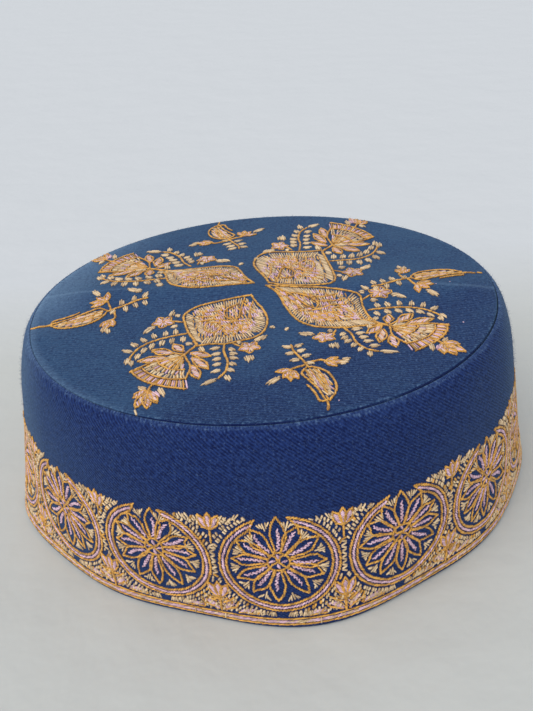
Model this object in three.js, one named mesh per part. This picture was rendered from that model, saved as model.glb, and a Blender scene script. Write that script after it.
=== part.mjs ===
// A round cloth cap: a flat crown panel sewn into the top of a deep, hollow side wall.
// Millimetres, +Z up. The rim rests on z = 0, and the origin is the centre of the rim.
// Angles run from the front (-Y) round to the right (+X).
import * as THREE from 'three'

// The seam where the crown panel meets the side wall
const SEAM_RADIUS = 86
const SEAM_HEIGHT = 76.5
const SEAM_DIP = 0.5 // the seam is this much lower at the front and back than at the two sides
const SEAM_GAP = 0.3

// The cloth, lined and quilted flat
const CLOTH = 2

// The side wall swells out below the seam, then runs down to the rim
const WALL_SWELL = 7.2
const SWELL_ROUNDNESS = 4 // a higher power keeps the wall upright for longer
const SWELL_SHOULDER = 0.65 // a lower power makes a fuller shoulder under the seam
const RIM_RADIUS = 93.7
const RIM_SPREAD_POWER = 2 // how soon the rim's four corners fade up the wall

// The rim has four soft corners, left by folding the cap flat: shares of the rim's radius
const RIM_SHAPE = [
  { waves: 2, share: -0.052, turn: 0 },
  { waves: 4, share: 0.031, turn: 0.106 },
  { waves: 8, share: 0.012, turn: 0.106 },
]

// The crown is slightly domed and keeps a raised crease where the cap was folded
const DOME_RISE = 0.8
const FOLD = { rise: 3.2, offset: 2.3, turn: -0.134, frontWidth: 11, backWidth: 18, edgeFade: 6 }
const CROWN_EDGE_ROUND = 0.4

// Where the sections have their rows, as shares of the height or of the radius
const AROUND = 96
const WALL_OUTSIDE_ROWS = [0, 0.05, 0.12, 0.22, 0.34, 0.46, 0.58, 0.68, 0.77, 0.85, 0.91, 0.955, 0.985, 1]
const WALL_INSIDE_ROWS = [0.97, 0.91, 0.85, 0.77, 0.68, 0.58, 0.46, 0.34, 0.22, 0.12, 0.05, 0]
const CROWN_ROWS = [0, 0.1, 0.2, 0.3, 0.4, 0.5, 0.6, 0.7, 0.8, 0.88, 0.94, 0.98]

const WALL_TOP_RADIUS = SEAM_RADIUS + SEAM_GAP / 2
const CROWN_RADIUS = SEAM_RADIUS - SEAM_GAP / 2
const SWOLLEN_RADIUS = WALL_TOP_RADIUS + WALL_SWELL

// Outer radius of the round wall at a share of its height, before the rim's corners are added
function wallRadius(share) {
  const swell = WALL_SWELL * (1 - share ** SWELL_ROUNDNESS) ** SWELL_SHOULDER
  return WALL_TOP_RADIUS + swell + (RIM_RADIUS - SWOLLEN_RADIUS) * (1 - share) ** 2
}

// How far the rim stands out of a circle at an angle
function rimSpread(angle) {
  const share = RIM_SHAPE.reduce((sum, wave) => sum + wave.share * Math.cos(wave.waves * (angle - wave.turn)), 0)
  return RIM_RADIUS * share
}

function seamDip(angle) {
  return SEAM_DIP * Math.cos(angle) ** 2
}

// Height of the old fold's crease above the crown at a point of the plan
function foldRise(x, y) {
  const across = (y - FOLD.offset) * Math.cos(FOLD.turn) - x * Math.sin(FOLD.turn)
  const width = across > 0 ? FOLD.backWidth : FOLD.frontWidth
  const edge = Math.min(Math.hypot(x, y) / CROWN_RADIUS, 1)
  return (FOLD.rise / (1 + (across / width) ** 2)) * (1 - edge ** FOLD.edgeFade)
}

// Turn a section about the upright axis, then move each point to its real place
function turnSection(section, place) {
  const geometry = new THREE.LatheGeometry(section, AROUND).rotateX(Math.PI / 2)
  const points = geometry.getAttribute('position')
  for (let i = 0; i < points.count; i++) {
    const placed = place(points.getX(i), points.getY(i), points.getZ(i))
    points.setXYZ(i, placed.x, placed.y, placed.z)
  }
  geometry.computeVertexNormals()
  return geometry
}

// The wall's section runs up the outside, over the lip at the seam, down the inside and across the hem
function wallSection() {
  const outside = WALL_OUTSIDE_ROWS.map((share) => new THREE.Vector2(wallRadius(share), share * SEAM_HEIGHT))
  const inside = WALL_INSIDE_ROWS.map(
    (share) => new THREE.Vector2(Math.max(WALL_TOP_RADIUS, wallRadius(share) - CLOTH), share * SEAM_HEIGHT),
  )
  return [...outside, ...inside, outside[0].clone()]
}

// The crown's section runs out along the underside, round the edge and back over the top
function crownSection() {
  const top = SEAM_HEIGHT
  const underside = CROWN_ROWS.map((share) => new THREE.Vector2(share * CROWN_RADIUS, top - CLOTH))
  const edge = [
    new THREE.Vector2(CROWN_RADIUS, top - CLOTH),
    new THREE.Vector2(CROWN_RADIUS, top - CROWN_EDGE_ROUND),
  ]
  const overTop = CROWN_ROWS.map((share) => new THREE.Vector2(share * CROWN_RADIUS, top)).reverse()
  return [...underside, ...edge, ...overTop]
}

function placeOnWall(x, y, z) {
  const angle = Math.atan2(x, -y)
  const share = z / SEAM_HEIGHT
  const stretch = 1 + (rimSpread(angle) * (1 - share) ** RIM_SPREAD_POWER) / Math.hypot(x, y)
  return { x: x * stretch, y: y * stretch, z: z - share * seamDip(angle) }
}

function placeOnCrown(x, y, z) {
  const edge = Math.min(Math.hypot(x, y) / CROWN_RADIUS, 1)
  const dome = DOME_RISE * (1 - edge ** 2)
  return { x, y, z: z + dome + foldRise(x, y) - seamDip(Math.atan2(x, -y)) * edge ** 2 }
}

function cloth(name, colour, geometry) {
  const material = new THREE.MeshStandardMaterial({ color: colour, roughness: 0.9, metalness: 0 })
  material.name = name
  const mesh = new THREE.Mesh(geometry, material)
  mesh.name = name
  return mesh
}

const cap = new THREE.Group()
cap.name = 'kashmiri_cap'
cap.add(cloth('side_wall', 0x20326a, turnSection(wallSection(), placeOnWall)))
cap.add(cloth('crown', 0x385478, turnSection(crownSection(), placeOnCrown)))

export default cap
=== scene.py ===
# %% [markdown]
# # A round embroidered cap from Kashmir
# The real cap is sewn from two cuts of navy wool cloth: a long strip, closed into a ring, makes
# the side wall, and a disc makes the crown. A band of roundels is embroidered round the foot of the
# wall, and four curling sprays with four small sprigs on the crown, in ochre, pink and cream thread.
# This lesson makes the two cloths first, then charts the embroidery stitch by stitch, and lays the
# stitches on the cloth with Geometry Nodes.

# %% Load the frame that the cap has to fit
import bpy
import math
import random
from mathutils import Matrix, Vector


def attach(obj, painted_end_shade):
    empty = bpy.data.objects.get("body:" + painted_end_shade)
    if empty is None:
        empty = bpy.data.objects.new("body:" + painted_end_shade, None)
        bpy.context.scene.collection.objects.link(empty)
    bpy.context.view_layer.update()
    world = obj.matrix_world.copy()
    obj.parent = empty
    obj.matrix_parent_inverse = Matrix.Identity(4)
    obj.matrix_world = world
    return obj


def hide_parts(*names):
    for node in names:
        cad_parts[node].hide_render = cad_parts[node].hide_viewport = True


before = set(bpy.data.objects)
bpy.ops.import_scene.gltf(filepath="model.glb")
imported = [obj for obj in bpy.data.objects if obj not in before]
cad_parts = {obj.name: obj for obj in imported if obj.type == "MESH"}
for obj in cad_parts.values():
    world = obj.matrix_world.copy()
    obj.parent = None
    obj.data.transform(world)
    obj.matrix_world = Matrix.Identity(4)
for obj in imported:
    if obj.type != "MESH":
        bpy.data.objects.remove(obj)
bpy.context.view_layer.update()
scene = bpy.context.scene
TAU = math.tau
MM = 0.001
print("nodes of the frame:", sorted(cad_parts))

# %% [markdown]
# ## Helpers for node trees
# Node trees are drawn with wires, but a formula is easier to read as a formula. A Field is one
# number on the wires, and adding, multiplying or powering it places the Math node for it. The same
# helpers work in a geometry tree and in a material.

# %% A number on the wires of a node tree
class Field:
    def __init__(self, tree, socket):
        self.tree = tree
        self.socket = socket

    def run(self, operation, *others):
        inputs = dict(enumerate((self, *others)))
        return Field(self.tree, make(self.tree, "ShaderNodeMath", inputs, operation=operation).outputs[0])

    def __add__(self, other):
        return self.run("ADD", other)

    def __sub__(self, other):
        return self.run("SUBTRACT", other)

    def __mul__(self, other):
        return self.run("MULTIPLY", other)

    def __truediv__(self, other):
        return self.run("DIVIDE", other)

    def __pow__(self, other):
        return self.run("POWER", other)

    def __rsub__(self, other):
        return self * -1.0 + other

    __radd__ = __add__
    __rmul__ = __mul__

    def cos(self):
        return self.run("COSINE")

    def sin(self):
        return self.run("SINE")

    def share(self):
        """The same number, held between 0 and 1."""
        clamped = self + 0.0
        clamped.socket.node.use_clamp = True
        return clamped


# %% Placing nodes, and a tree with named inputs
def plug(tree, node, inputs):
    for place, value in inputs.items():
        if isinstance(value, Field):
            value = value.socket
        if isinstance(value, bpy.types.NodeSocket):
            tree.links.new(value, node.inputs[place])
        else:
            node.inputs[place].default_value = value


def make(tree, kind, inputs=None, **settings):
    node = tree.nodes.new(kind)
    for name, value in settings.items():
        setattr(node, name, value)
    plug(tree, node, inputs or {})
    return node


def point(tree, *parts):
    return make(tree, "ShaderNodeCombineXYZ", dict(enumerate(parts))).outputs[0]


def parts_of(tree, vector):
    return [Field(tree, socket) for socket in make(tree, "ShaderNodeSeparateXYZ", {0: vector}).outputs]


def noise(tree, place, size, detail=2.0):
    node = make(tree, "ShaderNodeTexNoise", {"Vector": place, "Scale": 1.0 / size, "Detail": detail})
    return Field(tree, node.outputs[0])


# %% Starting, closing and running a geometry tree
def tree_with_inputs(name, sizes):
    tree = bpy.data.node_groups.new(name, "GeometryNodeTree")
    for way in ("INPUT", "OUTPUT"):
        tree.interface.new_socket("Geometry", in_out=way, socket_type="NodeSocketGeometry")
    kinds = {int: "Int", float: "Float", bpy.types.Material: "Material", bpy.types.Object: "Object"}
    for label, value in sizes.items():
        tree.interface.new_socket(label, in_out="INPUT", socket_type="NodeSocket" + kinds[type(value)])
    return tree, tree.nodes.new("NodeGroupInput"), tree.nodes.new("NodeGroupOutput")


def shape_of(tree, start, label):
    return make(tree, "GeometryNodeObjectInfo", {0: start.outputs[label]}).outputs["Geometry"]


def named(tree, label, kind="FLOAT_VECTOR"):
    return make(tree, "GeometryNodeInputNamedAttribute", {"Name": label}, data_type=kind).outputs[0]


def store(tree, geometry, label, value, kind="FLOAT", domain="POINT"):
    """Keeps a value on the mesh under a name, for later nodes and for materials to read."""
    return make(tree, "GeometryNodeStoreNamedAttribute", {
        "Geometry": geometry, "Name": label, "Value": value}, data_type=kind, domain=domain).outputs[0]


def close_tree(tree, end, geometry, material, dropped=()):
    """Every tree ends like this: instances made real, helping values dropped, a material set."""
    geometry = make(tree, "GeometryNodeRealizeInstances", {0: geometry}).outputs[0]
    for label in dropped:
        geometry = make(tree, "GeometryNodeRemoveAttribute", {"Geometry": geometry, "Name": label}).outputs[0]
    dressed = make(tree, "GeometryNodeSetMaterial", {"Geometry": geometry, "Material": material})
    tree.links.new(dressed.outputs[0], end.inputs[0])
    return tree


def grow(name, tree, sizes, points=None):
    """Runs the tree once and keeps its result as a plain mesh, with no modifier left on it."""
    start = bpy.data.objects.new(name + "_start", points or bpy.data.meshes.new(name + "_start"))
    scene.collection.objects.link(start)
    modifier = start.modifiers.new("tree", "NODES")
    modifier.node_group = tree
    for item in tree.interface.items_tree:
        if item.in_out == "INPUT" and item.name in sizes:
            modifier[item.identifier] = sizes[item.name]
    depsgraph = bpy.context.evaluated_depsgraph_get()
    mesh = bpy.data.meshes.new_from_object(
        start.evaluated_get(depsgraph), preserve_all_data_layers=True, depsgraph=depsgraph)
    bpy.data.objects.remove(start)
    mesh.name = name
    piece = bpy.data.objects.new(name, mesh)
    scene.collection.objects.link(piece)
    triangles = sum(len(polygon.vertices) - 2 for polygon in mesh.polygons)
    print(f"{name}: {len(mesh.vertices)} points, {triangles} triangles")
    return piece


# %% [markdown]
# ## The navy cloth
# Both cuts are one wool twill. On the wall its ridges run down to the right at about one a
# millimetre, broken here and there by the nap. On the crown the grain lies almost along the front
# edge and is fainter, and the cloth is greyer: it is paler in rubbed patches, and painted light makes
# it lighter towards the left and the back, all but a strip along the front and the right. The weave is
# made from each cloth's own chart (its UV map, in metres), so it follows the cloth round the head as
# real threads do. Two values that the cloth carries say where it changes: seam is pale beside the
# seam and is painted dark with shade in its groove, and the other is a pale bloom of painted sheen.

# %% Wool twill as a material
FIBRE_AND_SHEEN_BLUE = (0.13, 0.21, 0.34, 1.0)
# the colour of the shade painted into the seam's groove
GROOVE_SHADE_BLUE = (0.001, 0.006, 0.060, 1.0)


def shader_tree(name):
    material = bpy.data.materials.new(name)
    material.use_nodes = True
    tree = material.node_tree
    tree.nodes.clear()
    output = tree.nodes.new("ShaderNodeOutputMaterial")
    shader = tree.nodes.new("ShaderNodeBsdfPrincipled")
    tree.links.new(shader.outputs[0], output.inputs["Surface"])
    return material, tree, shader


def mix(tree, share, low, high):
    return make(tree, "ShaderNodeMix", {0: share, 6: low, 7: high}, data_type="RGBA").outputs[2]


def carried(tree, label):
    return Field(tree, make(tree, "ShaderNodeAttribute", attribute_name=label).outputs["Fac"])


def twill(name, deep, high, faded_and_lit, slope, pitch, depth, clarity, grain, painted_light_slope, edge):
    """The three colours are the floor of the weave, its crests, and the paler cloth of rubbed patches, of the
    seam's edge and of painted light.
    """
    material, tree, shader = shader_tree(name)
    chart = make(tree, "ShaderNodeUVMap", uv_map="chart").outputs[0]
    across, up, _ = parts_of(tree, chart)
    wander = (noise(tree, chart, 9 * MM) - 0.5) * 1.6 + (noise(tree, chart, 2.4 * MM) - 0.5) * 2.2
    ridge = ((up + across * slope) * (TAU / pitch) + wander).cos() * 0.5
    clear = (noise(tree, chart, 3.6 * MM) * 1.8 - 0.25) * clarity
    slub = noise(tree, chart, 1.5 * MM, 3.0) - 0.5
    nap = noise(tree, chart, 0.75 * MM)
    bump = make(tree, "ShaderNodeBump", {
        "Height": ridge * 0.6 + slub * 0.5 + nap * 0.35, "Distance": depth, "Strength": 0.8})
    shade = (ridge * clear + slub * 2.2 + (nap - 0.5) * grain + 0.5).share()
    colour = mix(tree, shade, (*deep, 1.0), (*high, 1.0))

    # the cloth has faded in patches, where hands rubbed it, and is paler along the seam; on the crown it is
    # also painted lighter towards the left and the back, as painted light
    seam = carried(tree, "seam")
    patches = (noise(tree, chart, 34 * MM, 3.0) - 0.46) * 2.2
    wear_and_painted_light = patches + (noise(tree, chart, 10 * MM, 3.0) - 0.5) * grain
    # painted light: this slope makes the crown lighter towards the left and the back
    wear_and_painted_light = wear_and_painted_light + (across * painted_light_slope[0] + up * painted_light_slope[1] + painted_light_slope[2]).share()
    wear_and_painted_light = (wear_and_painted_light * (slub * 1.8 + 0.75)).share() * 0.62
    wear_and_painted_light = wear_and_painted_light + ((seam * 1.5 - 0.5).share() * (nap * 4.0 - 1.4)).share() * edge
    colour = mix(tree, wear_and_painted_light.share(), colour, (*faded_and_lit, 1.0))

    # loose fibres look pale, most of all beside the seam, and the bloom of painted sheen is mixed in with
    # their pale blue
    fibres_and_sheen = ((nap - 0.59) * 6.0).share() * (0.2 + grain * 0.12)
    fibres_and_sheen = fibres_and_sheen + (seam.share() * (slub * 6.0 - 0.2)).share() * 0.42
    fibres_and_sheen = fibres_and_sheen + carried(tree, "hazed") * (slub + 1.0)
    colour = mix(tree, fibres_and_sheen, colour, FIBRE_AND_SHEEN_BLUE)

    # the groove of the seam is painted dark with shade, more in some stretches than in others
    painted_groove_shade = ((seam - 1.25) * 2.2).share() * ((noise(tree, chart, 17 * MM) - 0.2) * 4.5).share() * 0.92
    colour = mix(tree, painted_groove_shade, colour, GROOVE_SHADE_BLUE)
    plug(tree, shader, {
        "Base Color": colour, "Normal": bump.outputs[0], "Roughness": 0.92, "Sheen Weight": 0.12,
        "Sheen Roughness": 0.45, "Sheen Tint": (0.45, 0.83, 0.95, 1.0), "Specular IOR Level": 0.2})
    return material


wall_twill = twill(
    "navy_twill_wall", deep=(0.002, 0.008, 0.060), high=(0.014, 0.037, 0.158), faded_and_lit=(0.026, 0.054, 0.160),
    slope=0.8, pitch=1.24 * MM, depth=0.22 * MM, clarity=1.0, grain=0.5, painted_light_slope=(0.0, 0.0, 0.0), edge=0.9)
crown_twill = twill(
    "navy_twill_crown", deep=(0.004, 0.014, 0.070), high=(0.020, 0.048, 0.142), faded_and_lit=(0.032, 0.080, 0.170),
    slope=0.28, pitch=1.3 * MM, depth=0.16 * MM, clarity=0.6, grain=1.5, painted_light_slope=(-42.0, 73.0, 4.4), edge=0.6)

# %% [markdown]
# ## The side wall
# On the real cap this is a strip about 590 mm long, folded at the hem, closed into a ring and sewn
# to the crown. It could be modelled by hand, but its shape follows a rule: the section bulges a
# little between the hem and the seam, and the rim opens into a slightly squared oval. So a flat
# grid is wrapped into that ring by a tree. Its rows go down the outside, round the hem, up the
# inside and over the sewn lip, which closes the cloth with a real thickness.

# %% Sizes of the wall, in metres
WALL = {
    "Columns": 560,
    "Outside Rows": 84,
    "Inside Rows": 34,
    "Turn Rows": 6,
    "Seam Radius": 86.15 * MM,
    "Seam Height": 76.5 * MM,
    "Seam Dip": 0.5 * MM,
    "Lip": 0.75 * MM,
    "Lip Drop": 0.15 * MM,
    "Swell": 7.2 * MM,
    "Rim Radius": 93.7 * MM,
    "Cloth": 2.0 * MM,
    "Girth": 587.3 * MM,
    "Front Turn": -0.0167,
    "Pucker": 0.11 * MM,
    "Pucker Pitch": 2.3 * MM,
    "Unevenness": 0.5 * MM,
}


# %% What both cloths need: a grid, their values, and their closing nodes
WELD = 0.01 * MM


def unit_grid(tree, columns, rows):
    """A flat grid, with each point's share of the way across it and its number of rows down."""
    grid = make(tree, "GeometryNodeMeshGrid", {
        "Size X": 1.0, "Size Y": 1.0, "Vertices X": columns + 1.0, "Vertices Y": rows + 1.0})
    across, down, _ = parts_of(tree, grid.outputs["UV Map"])
    return grid.outputs[0], across, down * rows


def finish_cloth(tree, end, geometry, chart, seam, hazed, position, material):
    """Stores what the material reads, moves the grid, welds its edges and turns its faces out."""
    geometry = store(tree, geometry, "chart", chart, "FLOAT2", "CORNER")
    geometry = store(tree, geometry, "seam", seam)
    geometry = store(tree, geometry, "hazed", hazed)
    for kind, inputs in (("GeometryNodeSetPosition", {"Position": position}),
                         ("GeometryNodeMergeByDistance", {"Distance": WELD}),
                         ("GeometryNodeFlipFaces", {}), ("GeometryNodeSetShadeSmooth", {})):
        geometry = make(tree, kind, {0: geometry, **inputs}).outputs[0]
    return close_tree(tree, end, geometry, material)


# %% The tree that wraps the strip into the wall
LIP_ROUND = 0.45
CORNER_TURN = 0.106


def wall_tree():
    tree, start, end = tree_with_inputs("wrap the wall", WALL)
    size = {label: Field(tree, start.outputs[label]) for label in WALL}
    rows = size["Outside Rows"] + size["Inside Rows"] + size["Turn Rows"] * 2.0
    grid, across, row = unit_grid(tree, size["Columns"], rows)
    turn = (across - 0.5) * TAU
    outside = (1.0 - row / size["Outside Rows"]).share()
    hem = ((row - size["Outside Rows"]) / size["Turn Rows"]).share()
    inside_row = row - size["Outside Rows"] - size["Turn Rows"]
    inside = (inside_row / size["Inside Rows"]).share()
    lip = ((inside_row - size["Inside Rows"]) / size["Turn Rows"]).share()
    depth = ((lip * math.pi).cos() - (hem * math.pi).cos()) * 0.5
    up = outside + inside

    # the height of each row: a round hem below, a round lip above, and a slightly dipping seam
    half = size["Cloth"] * 0.5
    top = size["Seam Height"] - turn.cos() ** 2.0 * size["Seam Dip"] - size["Lip Drop"]
    height = half * (1.0 - (hem * math.pi).sin()) + up * (top - half * (1.0 + LIP_ROUND))
    height = height + half * LIP_ROUND * (lip * math.pi).sin()

    # the swelling section and the squared oval of the rim
    shoulder = (1.0 - up ** 4.0).share() ** 0.65
    down = (1.0 - up) ** 2.0
    oval = (turn * 2.0).cos() * -0.052 + ((turn - CORNER_TURN) * 4.0).cos() * 0.031
    oval = oval + ((turn - CORNER_TURN) * 8.0).cos() * 0.012
    foot = size["Rim Radius"] - size["Seam Radius"] - size["Swell"] + size["Rim Radius"] * oval
    radius = size["Seam Radius"] + size["Lip"] + (size["Swell"] - size["Lip"]) * shoulder + foot * down

    # puckers just under the seam, and the slow unevenness of hand-sewn cloth
    chart_across = (turn - size["Front Turn"]) * size["Girth"] / TAU
    place = point(tree, turn.sin() * 90 * MM, turn.cos() * 90 * MM, height)
    free = (up * 14.0).share() * ((1.0 - up) * 6.0).share()
    radius = radius + (noise(tree, place, 1 / 42, 1.5) - 0.5) * 2.0 * size["Unevenness"] * free
    near_seam = ((up - 0.93) * 22.0).share()
    wave = (chart_across * TAU / size["Pucker Pitch"] + noise(tree, place, 1 / 210, 1.0) * 9.0).sin()
    radius = radius + wave * size["Pucker"] * near_seam * (1.0 - depth)
    inner = radius - size["Cloth"] * depth
    radius = inner.run("MAXIMUM", size["Seam Radius"] - size["Cloth"] * 0.08)

    # the chart of the cloth: along the strip, and height on the outside running on round the hem
    chart_up = outside * (size["Seam Height"] - size["Lip Drop"] - half * (1.0 + LIP_ROUND)) + half
    chart_up = chart_up - (hem * math.pi + inside * 75.0 + lip) * half

    # seam rises from 0 to 1.2 over the last millimetre of the outside, and is about 1 over the lip
    over_lip = ((inside_row - size["Inside Rows"] + 0.5) * 4.0).share()
    seam = (1.0 - over_lip) * ((chart_up / MM - 75.1) * 1.5)
    seam = seam + over_lip * (0.95 + (1.0 - lip) ** 2.0 * 0.25)

    # the bloom of painted sheen lies thinly over the back, more on the right side and most on the left
    hazed = ((0.35 - (turn - 0.3).cos()) * 2.2).share() * 0.12
    hazed = hazed + ((turn.sin() + 0.84) * -8.0).share() * 0.26
    hazed = hazed + ((turn.sin() - 0.9) * 12.0).share() * 0.14
    position = point(tree, radius * turn.sin(), radius * turn.cos() * -1.0, height)
    chart = point(tree, chart_across, chart_up)
    return finish_cloth(tree, end, grid, chart, seam, hazed, position, wall_twill)


wall = grow("wall_cloth", wall_tree(), WALL)

# %% [markdown]
# ## The crown
# The real crown is a disc of the same cloth that has been folded flat, so a soft ridge runs across
# it and the back half slopes away. A tree lays a grid out as rings: outwards over the top, round
# the edge, and back to the middle underneath. The height follows one formula, so the ridge, the
# slight dome and the rolled edge can each be changed by one number. Roll is how thick the rolled edge
# is, and Slack is how much further it is pulled in at the front.

# %% Sizes of the crown, in metres
CROWN = {
    "Columns": 300,
    "Top Rings": 90,
    "Under Rings": 26,
    "Turn Rings": 8,
    "Radius": 85.97 * MM,
    "Roll": 0.5 * MM,
    "Slack": 0.6 * MM,
    "Height": 76.5 * MM,
    "Dome": 0.8 * MM,
    "Dip": 0.5 * MM,
    "Cloth": 2.0 * MM,
    "Fold Rise": 3.2 * MM,
    "Fold Turn": -0.134,
    "Fold Behind": 2.3 * MM,
    "Fold Front Width": 11.0 * MM,
    "Fold Back Width": 18.0 * MM,
    "Unevenness": 0.55 * MM,
    "Pucker": 0.14 * MM,
}


# %% The tree that lays out the crown
UNDERSIDE_SHIFT = 0.25
CREASE_WIDTH = 1.3 * MM


def crown_tree():
    tree, start, end = tree_with_inputs("lay the crown", CROWN)
    size = {label: Field(tree, start.outputs[label]) for label in CROWN}
    rings = size["Top Rings"] + size["Under Rings"] + size["Turn Rings"]
    grid, across, ring = unit_grid(tree, size["Columns"], rings)
    turn = across * TAU
    out = (ring / size["Top Rings"]).share()
    edge = ((ring - size["Top Rings"]) / size["Turn Rings"]).share()
    back = ((ring - size["Top Rings"] - size["Turn Rings"]) / size["Under Rings"]).share()
    half = size["Cloth"] * 0.5

    # at the front the edge is rolled more thickly and pulled in further, which opens the groove
    front = ((turn - 0.3).cos() * 1.6 - 0.5).share()
    roll = size["Roll"] * (front * 1.4 + 0.7)
    radius = (out - back) * (size["Radius"] - front * size["Slack"] - roll) + roll * (edge * math.pi).sin()
    along = radius * turn.sin()
    away = radius * turn.cos() * -1.0

    # the old fold across the crown, steeper in front than behind
    share = radius / size["Radius"]
    from_fold = (away - size["Fold Behind"]) * size["Fold Turn"].cos() - along * size["Fold Turn"].sin()
    behind = from_fold.run("GREATER_THAN", 0.0)
    width = behind * (size["Fold Back Width"] - size["Fold Front Width"]) + size["Fold Front Width"]
    fold = size["Fold Rise"] * (1.0 - share ** 6.0) / ((from_fold / width) ** 2.0 + 1.0)
    height = size["Height"] + size["Dome"] * (1.0 - share ** 2.0) + fold
    height = height - size["Dip"] * turn.cos() ** 2.0 * share ** 2.0
    height = height - half * (1.0 - (edge * math.pi).cos())

    # soft wrinkles, which die out before the seam, and puckers beside it
    place = point(tree, along, away)
    free = ((1.0 - share) * 9.0).share()
    height = height + (noise(tree, place, 1 / 34) - 0.5) * 2.0 * size["Unevenness"] * free
    near_seam = ((share - 0.93) * 16.0).share()
    height = height + (noise(tree, place, 1 / 330, 1.0) - 0.5) * 4.0 * size["Pucker"] * near_seam

    # the chart of the top is its plan, and the underside is charted beside it
    on_face = make(tree, "GeometryNodeFieldOnDomain", {0: ring}, data_type="FLOAT", domain="FACE")
    under = (Field(tree, on_face.outputs[0]) - size["Top Rings"]).run(
        "GREATER_THAN", size["Turn Rings"] * 0.5)
    chart = point(tree, along + under * UNDERSIDE_SHIFT, away)

    # seam rises to 0.6 at the edge, and goes on to its full value in the groove at the front, where shade is
    # painted into the groove
    seam = (radius - size["Radius"] + front * size["Slack"] + roll) / MM * 0.5 + 0.6
    seam = seam + (edge - 0.05).share() * 6.0 * front

    # the bloom of painted sheen lies on the left, towards the edge, and a painted highlight lies on both ends
    # of the fold's crest
    left = (along / MM * -0.03 - 1.1).share()
    hazed = ((share - 0.7) * 4.0).share() * left * (away / MM * 0.033 + 0.7).share() * 0.5
    hazed = hazed + ((share - 0.965) * 40.0).share() * left * 0.3
    crest = (1.0 - (from_fold / CREASE_WIDTH) ** 2.0).share()
    hazed = hazed + crest * ((along / (60 * MM)) ** 2.0 - 0.3).share() * 0.3
    return finish_cloth(tree, end, grid, chart, seam, hazed, point(tree, along, away, height), crown_twill)


crown = grow("crown_cloth", crown_tree(), CROWN)

# %% Hang the two cloths on the frame
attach(wall, "root")
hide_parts("side_wall")
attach(crown, "root")
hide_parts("crown")

# %% [markdown]
# ## The nap
# Old wool has a nap: loose fibres that stand off the cloth and blur its outline. One fibre is a bent
# sliver with ten triangles, and a tree scatters about seventeen thousand of it over the crown and
# the wall above its band, each with its own turn, lean and length, from a fixed seed.

# %% One fibre, and the tree that scatters it
FIBRE_RADIUS = 0.024


def one_fibre():
    rings = [[(x + FIBRE_RADIUS * math.cos(TAU * k / 3), FIBRE_RADIUS * math.sin(TAU * k / 3), z)
              for k in range(3)] for x, z in ((0, -0.1), (0.02, 0.45))]
    mesh = bpy.data.meshes.new("one_fibre")
    mesh.from_pydata(rings[0] + rings[1] + [(0.2, 0.1, 1.0)], [], [
        (0, 2, 1), (0, 1, 4, 3), (1, 2, 5, 4), (2, 0, 3, 5), (3, 4, 6), (4, 5, 6), (5, 3, 6)])
    return bpy.data.objects.new("one_fibre", mesh)


def turned_by(tree, rotation, *angles):
    """The rotation, with one more turn about its own axes."""
    more = make(tree, "FunctionNodeEulerToRotation", {0: point(tree, *angles)})
    return make(tree, "FunctionNodeRotateRotation", {0: rotation, 1: more.outputs[0]},
                rotation_space="LOCAL").outputs[0]


def napping_tree():
    tree, start, end = tree_with_inputs("raise the nap", {
        "Cloth": wall, "Fibre": fibre_object, "Wool": nap_wool, "Density": 1.0, "From": 1.0, "To": 1.0,
        "Seed": 1})
    across, up, _ = parts_of(tree, named(tree, "chart"))
    # the nap stands on the wall above its band, and on the crown up to where its underside begins
    bare = make(tree, "FunctionNodeBooleanMath", {
        0: up.run("GREATER_THAN", start.outputs["From"]), 1: across.run("LESS_THAN", start.outputs["To"])},
        operation="AND").outputs[0]
    seeds = make(tree, "GeometryNodeDistributePointsOnFaces", {
        "Mesh": shape_of(tree, start, "Cloth"), "Selection": bare, "Density": start.outputs["Density"],
        "Seed": start.outputs["Seed"]})
    turn, lean, length = (
        Field(tree, make(tree, "FunctionNodeRandomValue", {2: low, 3: high, "Seed": number},
                         data_type="FLOAT").outputs[1])
        for number, (low, high) in enumerate(((0.0, TAU), (0.5, 1.5), (0.5, 2.1))))
    turned = turned_by(tree, seeds.outputs["Rotation"], 0.0, 0.0, turn)
    standing = make(tree, "GeometryNodeInstanceOnPoints", {
        "Points": seeds.outputs["Points"], "Instance": shape_of(tree, start, "Fibre"),
        "Rotation": turned_by(tree, turned, lean), "Scale": point(tree, MM, MM, length * MM)})
    return close_tree(tree, end, standing.outputs[0], start.outputs["Wool"])


nap_wool, nap_tree, nap_shader = shader_tree("navy_nap")
plug(nap_tree, nap_shader, {
    "Base Color": (0.075, 0.11, 0.21, 1.0), "Roughness": 0.95, "Specular IOR Level": 0.1})
fibre_object = one_fibre()
napping = napping_tree()

# %% Raise the nap on both cloths
NAP_DENSITY = 4.2e5
NAP_SEED = 5
BAND_TOP = 47 * MM
for nap_name, nap_cloth, nap_from, nap_to, nap_slot in (
        ("wall_nap", wall, BAND_TOP, 1.0, "wall_cloth"), ("crown_nap", crown, -0.1, 0.1, "crown_cloth")):
    nap = grow(nap_name, napping, {"Cloth": nap_cloth, "Fibre": fibre_object, "Wool": nap_wool,
                                   "Density": NAP_DENSITY, "From": nap_from, "To": nap_to, "Seed": NAP_SEED})
    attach(nap, "root")

# %% [markdown]
# ## One stitch
# Hand embroidery is thousands of short lengths of thread, each coming up through the cloth and going
# down again. Modelling every one is not possible, but one stitch can be modelled once and repeated.
# It is a bead of thread that keeps its width almost to its ends and dives there into the cloth, to a
# point. It is closed underneath, and it has only 16 triangles, because it is repeated more than
# twenty-eight thousand times.

# %% The stitch that is repeated
STITCH_SIDES = 3
SHOULDER = 0.37
TIP = 0.54
TIP_DEPTH = 0.4
CREST = 1.1


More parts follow.
